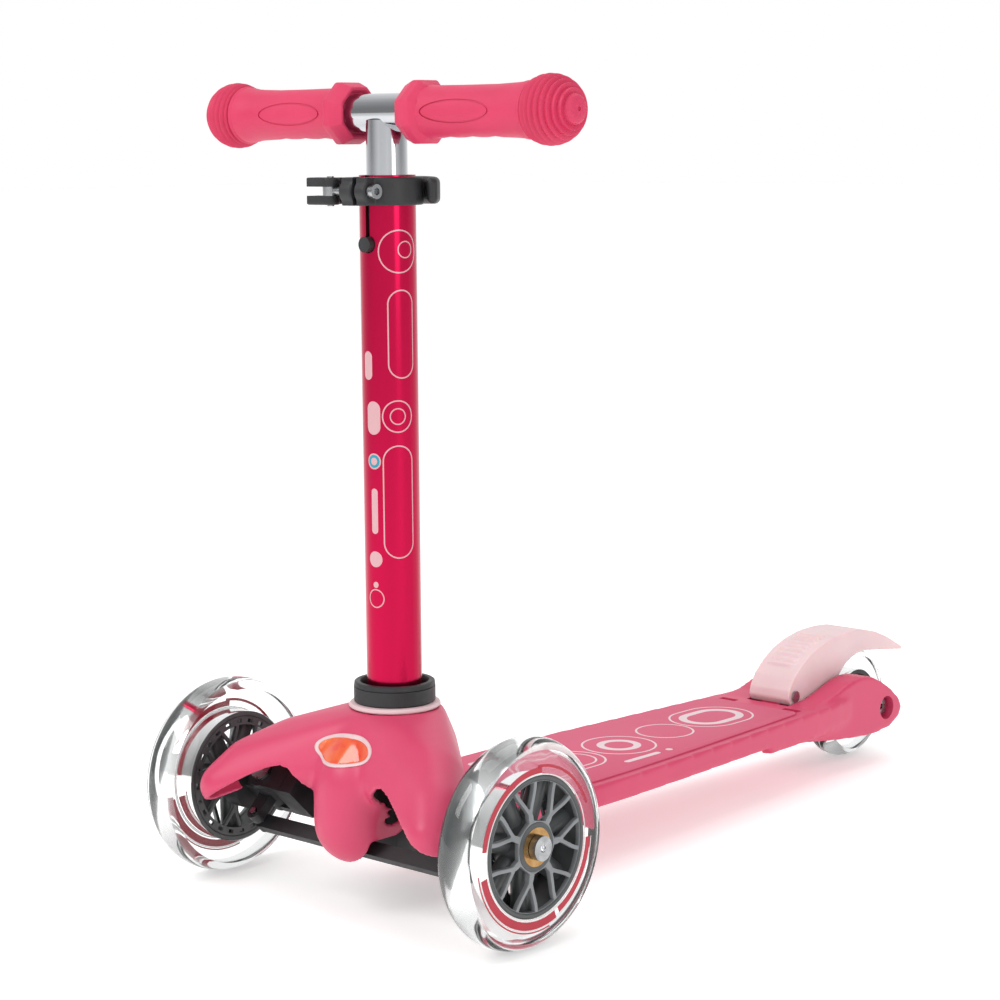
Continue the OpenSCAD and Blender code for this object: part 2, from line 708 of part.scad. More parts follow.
deck();
grip_mat();
front_housing();
housing_screws();
front_cover();
badge();
cover_rim();
stem_collar();
outer_tube();
tube_bush();
stem_bolt();
kingpin_left();
kingpin_right();
clamp_band();
clamp_bolt();
clamp_pin();
clamp_lever();
height_button();
inner_tube();
tube_plug();
crossbar();
grip_left();
grip_right();
knuckle_left();
knuckle_right();
axle_left();
axle_right();
tie_rod();
tie_rod_pins();
centring_rubbers();
tyre_left();
hub_left();
bearings_left();
spacer_left();
tyre_right();
hub_right();
bearings_right();
spacer_right();
tyre_rear();
hub_rear();
bearings_rear();
spacer_rear();
rear_axle();
rear_nut();
brake_fender();
brake_pad();
brake_pin();
brake_springs();
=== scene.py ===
import json
import math

import bpy
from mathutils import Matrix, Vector


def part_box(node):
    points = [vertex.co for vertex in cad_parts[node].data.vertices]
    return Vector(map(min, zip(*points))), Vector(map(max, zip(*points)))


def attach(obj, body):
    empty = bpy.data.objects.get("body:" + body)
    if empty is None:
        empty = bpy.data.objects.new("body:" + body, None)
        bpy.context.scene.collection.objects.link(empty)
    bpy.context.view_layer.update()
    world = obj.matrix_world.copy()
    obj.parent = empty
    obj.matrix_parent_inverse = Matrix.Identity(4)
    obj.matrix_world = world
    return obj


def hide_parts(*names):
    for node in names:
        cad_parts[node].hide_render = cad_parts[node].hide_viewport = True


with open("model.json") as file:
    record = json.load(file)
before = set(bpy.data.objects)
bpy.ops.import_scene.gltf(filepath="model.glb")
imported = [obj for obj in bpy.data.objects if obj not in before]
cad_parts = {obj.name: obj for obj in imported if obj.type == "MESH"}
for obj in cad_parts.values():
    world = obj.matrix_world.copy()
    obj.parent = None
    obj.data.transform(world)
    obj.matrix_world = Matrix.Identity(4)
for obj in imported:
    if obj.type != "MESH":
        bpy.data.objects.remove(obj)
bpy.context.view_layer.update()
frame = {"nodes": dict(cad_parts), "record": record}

MM = 0.001
nodes = frame["nodes"]

# ---------------------------------------------------------------- places
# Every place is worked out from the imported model, in metres.
tyre_low, tyre_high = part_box("tyre_left")
stem_low, stem_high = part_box("outer_tube")
bar_low, bar_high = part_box("crossbar")
mat_low, mat_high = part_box("grip_mat")
hub_low, hub_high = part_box("hub_left")
grip_low, grip_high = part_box("grip_left")
pin_low, pin_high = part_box("brake_pin")
collar_low, collar_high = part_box("stem_collar")
WHEEL_X = (tyre_low.x + tyre_high.x) / 2
WHEEL_Y = (hub_low.y + hub_high.y) / 2
WHEEL_R = WHEEL_Z = (hub_low.z + hub_high.z) / 2
HUB_R = (hub_high.z - hub_low.z) / 2
TYRE_W = tyre_high.x - tyre_low.x
REAR_Y = (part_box("hub_rear")[0].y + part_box("hub_rear")[1].y) / 2
REAR_R = REAR_Z = (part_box("hub_rear")[0].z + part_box("hub_rear")[1].z) / 2
REAR_HUB_R = (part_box("hub_rear")[1].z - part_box("hub_rear")[0].z) / 2
STEM_Y = (stem_low.y + stem_high.y) / 2
STEM_R = (stem_high.x - stem_low.x) / 2
BAR_Z = (bar_low.z + bar_high.z) / 2
BAR_R = (bar_high.z - bar_low.z) / 2
DECK_TOP = mat_low.z


# ---------------------------------------------------------------- modelling tools
def rest():
    """Object mode with nothing selected."""
    if bpy.context.mode != "OBJECT":
        bpy.ops.object.mode_set(mode="OBJECT")
    bpy.ops.object.select_all(action="DESELECT")


def use(piece):
    """Makes piece the only selected and the active object."""
    rest()
    piece.select_set(True)
    bpy.context.view_layer.objects.active = piece
    return piece


def new(name):
    """Names the primitive that was just added."""
    piece = bpy.context.object
    piece.name = piece.data.name = name
    return piece


def settle(piece):
    """Puts the piece's place, turn and scale into its mesh."""
    use(piece)
    bpy.ops.object.transform_apply(location=True, rotation=True, scale=True)
    return piece


def edit(piece, where=None, kind="FACE"):
    """Opens the piece in edit mode with the faces, edges or vertices selected for which where() holds."""
    use(piece)
    bpy.ops.object.mode_set(mode="EDIT")
    bpy.ops.mesh.select_mode(type=kind)
    bpy.ops.mesh.select_all(action="SELECT" if where is None else "DESELECT")
    if where is not None:
        bpy.ops.object.mode_set(mode="OBJECT")
        source = {"FACE": piece.data.polygons, "EDGE": piece.data.edges, "VERT": piece.data.vertices}[kind]
        for item in source:
            item.select = bool(where(item))
        bpy.ops.object.mode_set(mode="EDIT")


def finish_modifier(piece, kind, **settings):
    """Adds a modifier, gives it these settings and applies it."""
    use(piece)
    step = piece.modifiers.new(kind.lower(), kind)
    for name, value in settings.items():
        setattr(step, name, value)
    bpy.ops.object.modifier_apply(modifier=step.name)
    return piece


def rounded(piece, width, segments=3, angle=35):
    """Rounds the edges that are sharper than angle, in degrees, and smooths the faces between them."""
    finish_modifier(piece, "BEVEL", width=width, segments=segments, limit_method="ANGLE",
                    angle_limit=math.radians(angle), harden_normals=False)
    return smooth(piece, angle)


def smooth(piece, angle=35):
    use(piece)
    bpy.ops.object.shade_smooth_by_angle(angle=math.radians(angle))
    return piece


def cut(piece, tool):
    """Takes the tool's volume out of the piece."""
    finish_modifier(piece, "BOOLEAN", object=tool, operation="DIFFERENCE", solver="EXACT")
    bpy.data.objects.remove(tool)
    return piece


def weld(piece, other):
    finish_modifier(piece, "BOOLEAN", object=other, operation="UNION", solver="EXACT")
    bpy.data.objects.remove(other)
    return piece


def joined(pieces):
    """One object of all the pieces, named as the first."""
    use(pieces[0])
    for piece in pieces:
        piece.select_set(True)
    bpy.ops.object.join()
    return pieces[0]


def chain(name, points, closed=False):
    """A line of edges through the points, drawn by extruding a single vertex."""
    rest()
    bpy.ops.mesh.primitive_plane_add(size=MM, location=points[0])
    piece = settle(new(name))
    bpy.ops.object.mode_set(mode="EDIT")
    bpy.ops.mesh.select_mode(type="VERT")
    bpy.ops.mesh.select_all(action="SELECT")
    bpy.ops.mesh.merge(type="CENTER")
    for before, after in zip(points, points[1:]):
        bpy.ops.mesh.extrude_region_move(TRANSFORM_OT_translate={"value": Vector(after) - Vector(before)})
    if closed:
        bpy.ops.mesh.select_all(action="SELECT")
        bpy.ops.mesh.edge_face_add()
    return piece


def turned(name, profile, centre, axis="X", steps=96):
    """A body of revolution. profile is (place along the axis, radius) pairs in millimetres, from centre."""
    centre = Vector(centre)
    along, out = {"X": ((1, 0, 0), (0, 0, 1)), "Z": ((0, 0, 1), (1, 0, 0))}[axis]
    piece = chain(name, [centre + (Vector(along) * a + Vector(out) * r) * MM for a, r in profile])
    bpy.ops.mesh.select_all(action="SELECT")
    bpy.ops.mesh.spin(steps=steps, angle=math.tau, center=centre, axis=along)
    bpy.ops.mesh.select_all(action="SELECT")
    bpy.ops.mesh.remove_doubles(threshold=0.02 * MM)
    bpy.ops.mesh.normals_make_consistent(inside=False)
    return smooth(piece, 30)


def plate(name, outline, depth):
    """A flat outline, extruded by the vector depth."""
    piece = chain(name, outline, closed=True)
    bpy.ops.mesh.extrude_region_move(TRANSFORM_OT_translate={"value": Vector(depth)})
    bpy.ops.mesh.select_all(action="SELECT")
    bpy.ops.mesh.normals_make_consistent(inside=False)
    rest()
    return piece


def block(name, low, high):
    rest()
    low, high = Vector(low), Vector(high)
    bpy.ops.mesh.primitive_cube_add(size=1, location=(low + high) / 2)
    bpy.context.object.scale = [abs(side) for side in high - low]
    return settle(new(name))


def ball(name, centre, radius, segments=32):
    rest()
    bpy.ops.mesh.primitive_uv_sphere_add(radius=radius, location=centre, segments=segments,
                                         ring_count=segments // 2)
    return settle(new(name))


def rod(name, centre, radius, length, axis="X", sides=64):
    rest()
    turn = {"X": (0, math.pi / 2, 0), "Y": (math.pi / 2, 0, 0), "Z": (0, 0, 0)}[axis]
    bpy.ops.mesh.primitive_cylinder_add(radius=radius, depth=length, location=centre, rotation=turn,
                                        vertices=sides)
    return settle(new(name))


def copied(piece, name, mirror_x=False):
    """A copy with its own mesh, mirrored across the middle plane if asked."""
    other = piece.copy()
    other.data = piece.data.copy()
    other.name = other.data.name = name
    bpy.context.scene.collection.objects.link(other)
    if mirror_x:
        edit(other)
        bpy.ops.transform.mirror(constraint_axis=(True, False, False), center_override=(0, 0, 0))
        bpy.ops.mesh.normals_make_consistent(inside=False)
        rest()
    return other


def hull_of(name, balls):
    """The convex skin round some balls, given as (centre, radius) pairs."""
    piece = joined([ball(name, centre, radius) for centre, radius in balls])
    edit(piece)
    bpy.ops.mesh.convex_hull()
    rest()
    return piece


def dress(piece, body, finish, replaced=()):
    """Gives the piece its material, its body and the CAD nodes that it stands for."""
    piece.data.materials.clear()
    piece.data.materials.append(finish)
    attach(piece, body)
    if replaced:
        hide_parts(*replaced)
    return piece


# ---------------------------------------------------------------- materials
def linear(hex_colour):
    """The linear colour, with full alpha, of an sRGB hex value."""
    parts = [int(hex_colour[i:i + 2], 16) / 255 for i in (1, 3, 5)]
    return [c / 12.92 if c <= 0.04045 else ((c + 0.055) / 1.055) ** 2.4 for c in parts] + [1.0]


def add(tree, kind, settings=None, *sources, **links):
    """Adds one node. settings are its properties and socket values, sources feed its inputs in order, as
    sockets or plain values, and links feed them by name, with _ for a space."""
    node = tree.nodes.new(kind)
    for name, value in (settings or {}).items():
        if name in node.inputs:
            node.inputs[name].default_value = value
        else:
            setattr(node, name, value)
    for place, source in enumerate(sources):
        if isinstance(source, bpy.types.NodeSocket):
            tree.links.new(source, node.inputs[place])
        else:
            node.inputs[place].default_value = source
    for name, source in links.items():
        tree.links.new(source, node.inputs[name.replace("_", " ")])
    return node


def material(name, base, **shader):
    """A new material with these values on its Principled shader; the names take _ for a space."""
    made = bpy.data.materials.new(name)
    made.use_nodes = True
    tree = made.node_tree
    surface = tree.nodes["Principled BSDF"]
    surface.inputs["Base Color"].default_value = linear(base)
    for key, value in shader.items():
        surface.inputs[key.replace("_", " ")].default_value = value
    return made, tree, surface


def place_of(tree):
    return add(tree, "ShaderNodeTexCoord").outputs["Object"]


def grain(tree, size_mm, detail=2.0, stretch=(1, 1, 1)):
    """Noise whose grains are about size_mm across, drawn out along the axes with a small stretch value."""
    spread = add(tree, "ShaderNodeMapping", {"Scale": stretch}, Vector=place_of(tree))
    return add(tree, "ShaderNodeTexNoise", {"Scale": 1 / (size_mm * MM), "Detail": detail},
               Vector=spread.outputs[0]).outputs["Fac"]


def spread_over(tree, value, low, high):
    """Maps a 0 to 1 noise value, which mostly lies between 0.3 and 0.7, onto low to high."""
    return add(tree, "ShaderNodeMapRange",
               {"From Min": 0.3, "From Max": 0.7, "To Min": low, "To Max": high}, Value=value).outputs[0]


def blend(tree, factor, low, high):
    """A colour between low and high, each a hex value or a socket, by factor."""
    node = add(tree, "ShaderNodeMix", {"data_type": "RGBA"}, Factor=factor)
    for place, value in (("A", low), ("B", high)):
        slot = next(s for s in node.inputs if s.name == place and s.type == "RGBA")
        if isinstance(value, str):
            slot.default_value = linear(value)
        else:
            tree.links.new(value, slot)
    return next(s for s in node.outputs if s.type == "RGBA")


def textured(name, colours, roughness, tone_mm, bump_mm, height_mm, stretch=(1, 1, 1), **shader):
    """A material whose colour drifts between two shades over tone_mm, whose roughness drifts with it,
    and whose surface has bumps bump_mm across and height_mm high."""
    made, tree, surface = material(name, colours[0], **shader)
    tone = grain(tree, tone_mm, stretch=stretch)
    link = tree.links.new
    link(blend(tree, spread_over(tree, tone, 0, 1), *colours), surface.inputs["Base Color"])
    link(spread_over(tree, tone, *roughness), surface.inputs["Roughness"])
    bump = add(tree, "ShaderNodeBump", {"Strength": 1.0, "Distance": height_mm * MM},
               Height=grain(tree, bump_mm, 1.0, stretch))
    link(bump.outputs[0], surface.inputs["Normal"])
    return made


# Satin moulded ABS: soft wide highlights and a fine spark-eroded grain that breaks them up.
PINK_ABS = textured("abs_moulded_satin_pink", ("#C63A60", "#CC4166"), (0.36, 0.46), 38, 0.55, 0.012,
                    Specular_IOR_Level=0.45, Subsurface_Weight=0.08, Subsurface_Scale=2 * MM)
# Rubbery moulded grip rubber: dull, a little darker in patches, with a matte skin.
PINK_RUBBER = textured("tpr_moulded_pink", ("#C42D54", "#CA345A"), (0.48, 0.6), 22, 0.5, 0.02,
                       Specular_IOR_Level=0.4, Subsurface_Weight=0.05, Subsurface_Scale=1.5 * MM)
# Glass-filled nylon: near black with a dry, slightly mottled sheen.
BLACK_NYLON = textured("nylon_glass_filled_black", ("#17181A", "#232427"), (0.42, 0.58), 9, 0.45, 0.02)
# The same nylon in mid grey, for the spokes that face the light.
GREY_NYLON = textured("nylon_moulded_grey", ("#74777A", "#7F8284"), (0.34, 0.46), 14, 0.5, 0.012)
# And a darker copy of the same grey, for the parts behind the face ribs: painted shade, standing in for the
# shade that falls behind them.
SHADED_GREY_NYLON = textured("nylon_moulded_grey_painted_shade", ("#3D4041", "#484B4C"), (0.34, 0.46), 14, 0.5, 0.012)
# Milky polypropylene: light soaks in and comes out faintly pink.
FROSTED = textured("pp_moulded_frosted", ("#E0C6C8", "#DBBEC1"), (0.38, 0.5), 24, 0.6, 0.01,
                   Subsurface_Weight=0.35, Subsurface_Scale=6 * MM)
# The same plastic, thinner and drier, with a faint pink cast.
PALE_PLASTIC = textured("pp_moulded_pale_pink", ("#D8BCBE", "#D2B3B7"), (0.4, 0.5), 12, 0.5, 0.01)
# Natural black rubber: no shine at all, faintly cloudy.
BLACK_RUBBER = textured("rubber_moulded_black", ("#101010", "#1B1B1B"), (0.65, 0.8), 6, 0.4, 0.02)
# Zinc-plated steel: a cool grey mirror, fogged by fine brushing.
STEEL = textured("steel_zinc_plated", ("#A9ABAD", "#949698"), (0.2, 0.36), 5, 0.3, 0.004, Metallic=1.0)
# Bearing steel under oil: a warm, almost golden tint.
BEARING_STEEL = textured("steel_bearing_oiled", ("#AF8D5E", "#9C7446"), (0.14, 0.26), 4, 0.3, 0.003,
                         Metallic=1.0)
# Bright chrome plate on the domed heads.
CHROME = textured("steel_chrome_plated", ("#E0E1E3", "#D2D3D6"), (0.05, 0.12), 6, 0.4, 0.001, Metallic=1.0)
# Drawn and polished tube: mirror bright with faint lines along its length.
POLISHED = textured("aluminium_polished", ("#C2C4C8", "#B4B6BA"), (0.07, 0.14), 4, 0.8, 0.0015,
                    stretch=(1, 1, 0.05), Metallic=1.0)
# The same finish with its lines along the crossbar.
POLISHED_BAR = textured("aluminium_polished_bar", ("#C2C4C8", "#B4B6BA"), (0.07, 0.14), 4, 0.8, 0.0015,
                        stretch=(0.05, 1, 1), Metallic=1.0)
# Cast polyurethane: clear like thick glass, with slow swirls that bend what is behind it.
CLEAR_PU = textured("pu_cast_clear", ("#F4F6F6", "#EEF1F1"), (0.02, 0.07), 30, 14, 0.12,
                    Transmission_Weight=1.0, IOR=1.45)
# Pad-printed inks on the tyre sides.
RED_PRINT = textured("ink_printed_red", ("#A50E2A", "#AE1430"), (0.3, 0.4), 8, 0.3, 0.003)
WHITE_PRINT = textured("ink_printed_white", ("#DAD6D6", "#CFCBCB"), (0.3, 0.4), 8, 0.3, 0.003)


def capsule_line(tree, across, along, middle, low, high, radius, line):
    """1 on a line along the outline of a capsule, or all over it where line is 0, and 0 elsewhere.
    across and along are sockets in metres; the capsule's sizes are in millimetres."""
    nearest = add(tree, "ShaderNodeClamp", {"Min": low * MM, "Max": high * MM}, Value=along).outputs[0]
    here = add(tree, "ShaderNodeCombineXYZ", None, across, along).outputs[0]
    spine = add(tree, "ShaderNodeCombineXYZ", None, middle * MM, nearest).outputs[0]
    away = add(tree, "ShaderNodeVectorMath", {"operation": "DISTANCE"}, here, spine).outputs["Value"]
    if line == 0:
        return add(tree, "ShaderNodeMath", {"operation": "LESS_THAN"}, away, radius * MM).outputs[0]
    return add(tree, "ShaderNodeMath", {"operation": "COMPARE"}, away, radius * MM, line / 2 * MM).outputs[0]


def print_over(made, across, along, ink, shapes):
    """Prints capsules in a pale ink over a material's own colour."""
    tree = made.node_tree
    surface = tree.nodes["Principled BSDF"]
    mask = None
    for shape in shapes:
        one = capsule_line(tree, across, along, *shape)
        if mask is not None:
            one = add(tree, "ShaderNodeMath", {"operation": "MAXIMUM"}, mask, one).outputs[0]
        mask = one
    under = surface.inputs["Base Color"].links[0].from_socket
    tree.links.new(blend(tree, mask, under, ink), surface.inputs["Base Color"])
    return mask


def anodised_tube():
    """Pink anodised aluminium: a deep metallic pink with long soft reflections,
    printed with a column of plain bars, rings and dots."""
    made = textured("aluminium_anodised_pink", ("#BC1242", "#A80E3A"), (0.16, 0.25), 26, 0.7, 0.002,
                    stretch=(1, 1, 0.04), Metallic=0.92)
    tree = made.node_tree
    x, y, z = add(tree, "ShaderNodeSeparateXYZ", Vector=place_of(tree)).outputs
    ahead = add(tree, "ShaderNodeMath", {"operation": "SUBTRACT"}, STEM_Y, y).outputs[0]
    turn = add(tree, "ShaderNodeMath", {"operation": "ARCTAN2"}, x, ahead).outputs[0]
    across = add(tree, "ShaderNodeMath", {"operation": "MULTIPLY"}, turn, STEM_R).outputs[0]
    solid = [(2, 205, 205, 4.6, 0), (2, 222, 244, 2.2, 0), (2, 262, 262, 4.6, 0), (2, 262, 262, 1.6, 0),
             (2, 282, 292, 4.6, 0), (-1.5, 312, 322, 3.2, 0), (2, 190, 190, 1.8, 0)]
    lines = [(17, 215, 262, 9, 0.8), (17, 288, 288, 9, 0.8), (17, 288, 288, 4.5, 0.7),
             (20, 318, 352, 8, 0.8),
             (19, 382, 382, 12, 0.8), (23, 383, 383, 4.6, 0.7), (2, 182, 182, 5.2, 0.7)]
    mask = print_over(made, across, z, "#C99CA1", solid + lines)
    print_over(made, across, z, "#1F8AA0", [(2, 262, 262, 3.0, 1.6)])
    metal = add(tree, "ShaderNodeMath", {"operation": "MULTIPLY_ADD"}, mask, -0.8, 0.92).outputs[0]
    tree.links.new(metal, tree.nodes["Principled BSDF"].inputs["Metallic"])
    return made


def printed_mat():
    """Moulded matte deck top with a fine anti-slip grain, printed with plain capsules, rings and dots."""
    made = textured("deck_mat_moulded_matte_pink", ("#CA4C6C", "#CE5877"), (0.55, 0.68), 30, 1.1, 0.05,
                    Specular_IOR_Level=0.35)
    tree = made.node_tree
    x, y, z = add(tree, "ShaderNodeSeparateXYZ", Vector=place_of(tree)).outputs
    back = add(tree, "ShaderNodeMath", {"operation": "SUBTRACT"}, y, WHEEL_Y).outputs[0]
    shapes = [(6, 140, 176, 22, 1.4), (6, 140, 176, 16, 1.4), (4, 226, 226, 24, 1.4), (4, 226, 226, 12, 5),
              (2, 276, 276, 19, 1.4), (0, 322, 336, 24, 1.4), (0, 322, 336, 15, 5.5), (-33, 128, 146, 4, 0),
              (-33, 160, 160, 4, 0), (-33, 172, 172, 4, 1.4), (36, 196, 226, 2.2, 0), (36, 238, 238, 2.4, 0)]
    print_over(made, x, back, "#DDC9CC", shapes)
    return made


def badge_resin():
    """Domed resin over an orange-red print: glossy, with a slow drift of colour."""
    return textured("resin_domed_badge", ("#D8402A", "#E0662E"), (0.1, 0.2), 9, 3, 0.01, Coat_Weight=0.6)


ANODISED = anodised_tube()
DECK_MAT = printed_mat()
BADGE = badge_resin()

SLOT_MATERIAL = {
    "pink_plastic": PINK_ABS, "deck_mat": DECK_MAT, "black_plastic": BLACK_NYLON,
    "pale_plastic": PALE_PLASTIC, "badge_enamel": BADGE, "pink_anodised": ANODISED,
    "polished_tube": POLISHED, "pink_rubber": PINK_RUBBER, "black_rubber": BLACK_RUBBER,
    "steel": STEEL, "clear_tyre": CLEAR_PU, "grey_hub": GREY_NYLON, "frosted_plastic": FROSTED,
}
for part in frame["record"]["subparts"]:
    slots = nodes[part["node"]].data.materials
    slots.clear()
    slots.append(SLOT_MATERIAL[part["material_slot"]])
for name in ("bearings_left", "bearings_right"):
    nodes[name].data.materials[0] = BEARING_STEEL
nodes["hub_rear"].data.materials[0] = BLACK_NYLON
nodes["crossbar"].data.materials[0] = POLISHED_BAR


# ---------------------------------------------------------------- places on the scooter
def at(x, y, z):
    """The point x to the rider's left, y behind the front axle and z above the ground, in millimetres."""
    return Vector((x * MM, WHEEL_Y + y * MM, z * MM))


def moulded(pieces, voxel, passes):
    """One soft-edged body of pieces that overlap: remeshed at voxel metres, then relaxed passes times."""
    body = joined(pieces) if len(pieces) > 1 else pieces[0]
    finish_modifier(body, "REMESH", mode="VOXEL", voxel_size=voxel)
    finish_modifier(body, "SMOOTH", factor=0.5, iterations=passes)
    use(body)
    bpy.ops.object.shade_smooth()
    return body


# ---------------------------------------------------------------- front cover
COVER_WALL = 3
NECK_Z = collar_low.z / MM - 3
STEM_BACK = (STEM_Y - WHEEL_Y) / MM
AXLE_Z = WHEEL_Z / MM


def front_cover():
    """The winged shell over the steering: two drooping arms and a toe, blended from one dome."""
    turn = [math.tau * i / 12 for i in range(12)]
    neck = [((25 * math.cos(a), STEM_BACK + 25 * math.sin(a), NECK_Z - 5), 5.5) for a in turn]
    skirt = [((31 * math.cos(a), STEM_BACK + 31 * math.sin(a), NECK_Z - 24), 7) for a in turn]
    toe = [((0, -4, AXLE_Z + 14), 27.5), ((0, -8, AXLE_Z - 7), 25), ((0, -8, AXLE_Z - 6), 25)]
    arms = [[((s * x, y, AXLE_Z + z), r) for x, y, z, r in
             ((55, -3, 25, 20.5), (75, -21, 15, 18.5), (86, -35, 5, 14))] for s in (1, -1)]
    lobes = [hull_of("front_cover", [(at(*place), r * MM) for place, r in neck + skirt + lobe])
             for lobe in (toe, *arms)]
    shell = moulded(lobes, 2.4 * MM, 14)
    inside = copied(shell, "cover_inside")
    finish_modifier(inside, "DISPLACE", strength=-COVER_WALL * MM, mid_level=0)
    cut(shell, inside)
    edge = [(22, -10), (22.5, 44), (24, 58), (26.5, 68), (30.5, 76), (36, 81.5), (42, 83), (50, 81),
            (62, 75), (76, 66.5), (89, 58), (100, 52), (125, 46), (125, -10)]
    for side in (1, -1):
        cut(shell, plate("edge", [at(side * x, -90, z) for x, z in edge], (0, 180 * MM, 0)))
    cut(shell, block("arm_back", at(-150, -19, -10), at(-33, 100, AXLE_Z + 22)))
    cut(shell, block("arm_back", at(33, -19, -10), at(150, 100, AXLE_Z + 22)))
    cut(shell, block("stem_back", at(-34, 12, -10), at(34, 100, AXLE_Z + 28)))
    cut(shell, block("toe_back", at(-60, -17, -10), at(60, 100, AXLE_Z - 14)))
    cut(shell, rod("neck", at(0, STEM_BACK, NECK_Z), 24.6 * MM, 60 * MM, "Z"))
    return moulded([shell], 1.15 * MM, 3)


BADGE_X, BADGE_Z, BADGE_TURN = -14, AXLE_Z + 37, math.radians(-20)


def badge(cover, name, long, high, lift):
    """An oval shell that follows the cover's skin and stands lift millimetres above it."""
    skin = copied(cover, name)
    finish_modifier(skin, "DISPLACE", strength=lift * MM, mid_level=0)
    across = Vector((math.cos(BADGE_TURN), math.sin(BADGE_TURN), 0))
    into = Vector((-math.sin(BADGE_TURN), math.cos(BADGE_TURN), 0))
    ring = []
    for i in range(64):
        a = math.tau * i / 64
        side, up = long / 2 * math.cos(a), high / 2 * math.sin(a)
        ring.append(at(BADGE_X, -60, BADGE_Z + up) + across * side * MM)
    oval = plate("oval", ring, into * 62 * MM)
    rest()
    use(skin)
    finish_modifier(skin, "BOOLEAN", operation="INTERSECT", object=oval, solver="EXACT")
    bpy.data.objects.remove(oval)
    return cut(skin, copied(cover, "under"))


# ---------------------------------------------------------------- wheels
RIBS = 7
ARM_SPREAD = 180 / RIBS / 2
HUB_MM = HUB_R / MM
HALF_W = TYRE_W / MM / 2
FORK_R = 19
RIM_IN = HUB_MM - 3.2


def rim_point(x, radius, angle):
    """A point on the left front wheel, x outwards from its middle plane, at an angle up from the back."""
    a = math.radians(angle)
    return at(WHEEL_X / MM + x, radius * math.cos(a), AXLE_Z + radius * math.sin(a))


def arm_edge(radius, side):
    """Angle of one side of a forked rib's arm, in degrees from the rib's centre line."""
    fork = min(1, max(0, (radius - FORK_R) / (HUB_MM - 3 - FORK_R)))
    half_width = 1.15 if fork else 1.9
    return 2 * ARM_SPREAD * math.sin(fork * math.pi / 2) / 2 + side * math.degrees(half_width / radius)


def rib_windows(x, depth):
    """The cutters of all the openings of a forked-rib plate, as one object."""
    outer = HUB_MM - 3.4
    inside = [22.8 + (outer - 22.8) * i / 7 for i in range(8)]
    between = [15.2 + (outer - 15.2) * i / 9 for i in range(10)]
    fork = [rim_point(x, r, -arm_edge(r, -1)) for r in inside]
    fork += [rim_point(x, outer, a * arm_edge(outer, -1) / 2) for a in (-1, 0, 1)]
    fork += [rim_point(x, r, arm_edge(r, -1)) for r in reversed(inside)]
    pitch = 360 / RIBS
    gap = [rim_point(x, r, arm_edge(r, 1)) for r in between]
    gap += [rim_point(x, outer, pitch / 2 + a * (pitch / 2 - arm_edge(outer, 1)) / 2) for a in (-1, 0, 1)]
    gap += [rim_point(x, r, pitch - arm_edge(r, 1)) for r in reversed(between)]
    cutters = []
    for outline in (fork, gap):
        for i in range(RIBS):
            window = plate("window", outline, (depth * MM, 0, 0))
            edit(window)
            bpy.ops.transform.rotate(value=math.radians(i * pitch), orient_axis="X",
                                     center_override=rim_point(0, 0, 0))
            rest()
            cutters.append(window)
    return joined(cutters)


def rib_plate(name, low, high):
    disc = rod(name, rim_point((low + high) / 2, 0, 0), (HUB_MM - 3.1) * MM, (high - low) * MM, "X", 112)
    cut(disc, rib_windows(low - 1, high - low + 2))
    cut(disc, rod("bore", rim_point(0, 0, 0), 13.9 * MM, 60 * MM, "X"))
    return rounded(disc, 0.55 * MM, 2, 40)


def hub_core():
    """Rim, boss and the seven thick round spokes behind the forked ribs."""
    face, lip = HALF_W - 0.1, 0.8
    rim = turned("hub_core", [(-face, RIM_IN + lip), (-face + lip, RIM_IN),
                              (face - lip, RIM_IN),
                              (face, RIM_IN + lip), (face, HUB_MM - 0.7), (face - 0.7, HUB_MM),
                              (-face + 0.7, HUB_MM), (-face, HUB_MM - 0.7), (-face, RIM_IN + lip)],
                 rim_point(0, 0, 0), steps=128)
    boss = turned("boss", [(-face, 11.05), (-face, 13.6), (-face + 0.7, 14.2), (face - 0.7, 14.2),
                           (face, 13.6), (face, 11.05), (-face, 11.05)], rim_point(0, 0, 0))
    for i in range(RIBS):
        spoke = rod("spoke", rim_point(-0.5, 25, 90), 5.6 * MM, (RIM_IN - 13.2) * MM, "Z", 32)
        edit(spoke)
        bpy.ops.transform.rotate(value=math.radians((i + 0.5) * 360 / RIBS), orient_axis="X",
                                 center_override=rim_point(0, 0, 0))
        rest()
        weld(boss, spoke)
    return smooth(weld(rim, boss), 35)


def slotted_ring():
    """The ring with a row of slots that shows on the wheel's inner side."""
    ring = turned("hub_slotted_ring", [(-HALF_W + 0.3, HUB_MM - 8.2), (-HALF_W + 0.3, HUB_MM - 3.3),
                                       (-HALF_W + 2.2, HUB_MM - 3.3), (-HALF_W + 2.2, HUB_MM - 8.2),
                                       (-HALF_W + 0.3, HUB_MM - 8.2)], rim_point(0, 0, 0), steps=112)
    slots = []
    for i in range(24):
        slot = block("slot", rim_point(-HALF_W - 1, 0, 0) + Vector((0, -1.9, HUB_MM - 6.9)) * MM,
                     rim_point(-HALF_W + 3, 0, 0) + Vector((0, 1.9, HUB_MM - 4.7)) * MM)
        edit(slot)
        bpy.ops.transform.rotate(value=math.radians(i * 15), orient_axis="X",
                                 center_override=rim_point(0, 0, 0))
        rest()
        slots.append(slot)
    return rounded(cut(ring, joined(slots)), 0.3 * MM, 2, 50)


def clear_tyre(name, middle, outer_r, inner_r):
    """A tyre with flat sides and a round crown."""
    crown = HALF_W + 2
    side = HALF_W - 0.1
    turn = math.degrees(math.asin(side / crown)) - 2
    profile = [(-side, inner_r), (-side, inner_r + 1)]
    for step in range(17):
        a = math.radians(-turn + 2 * turn * step / 16)
        profile.append((crown * math.sin(a), outer_r - crown + crown * math.cos(a)))
    profile += [(side, inner_r + 1), (side, inner_r), (-side, inner_r)]
    return turned(name, profile, middle, steps=144)


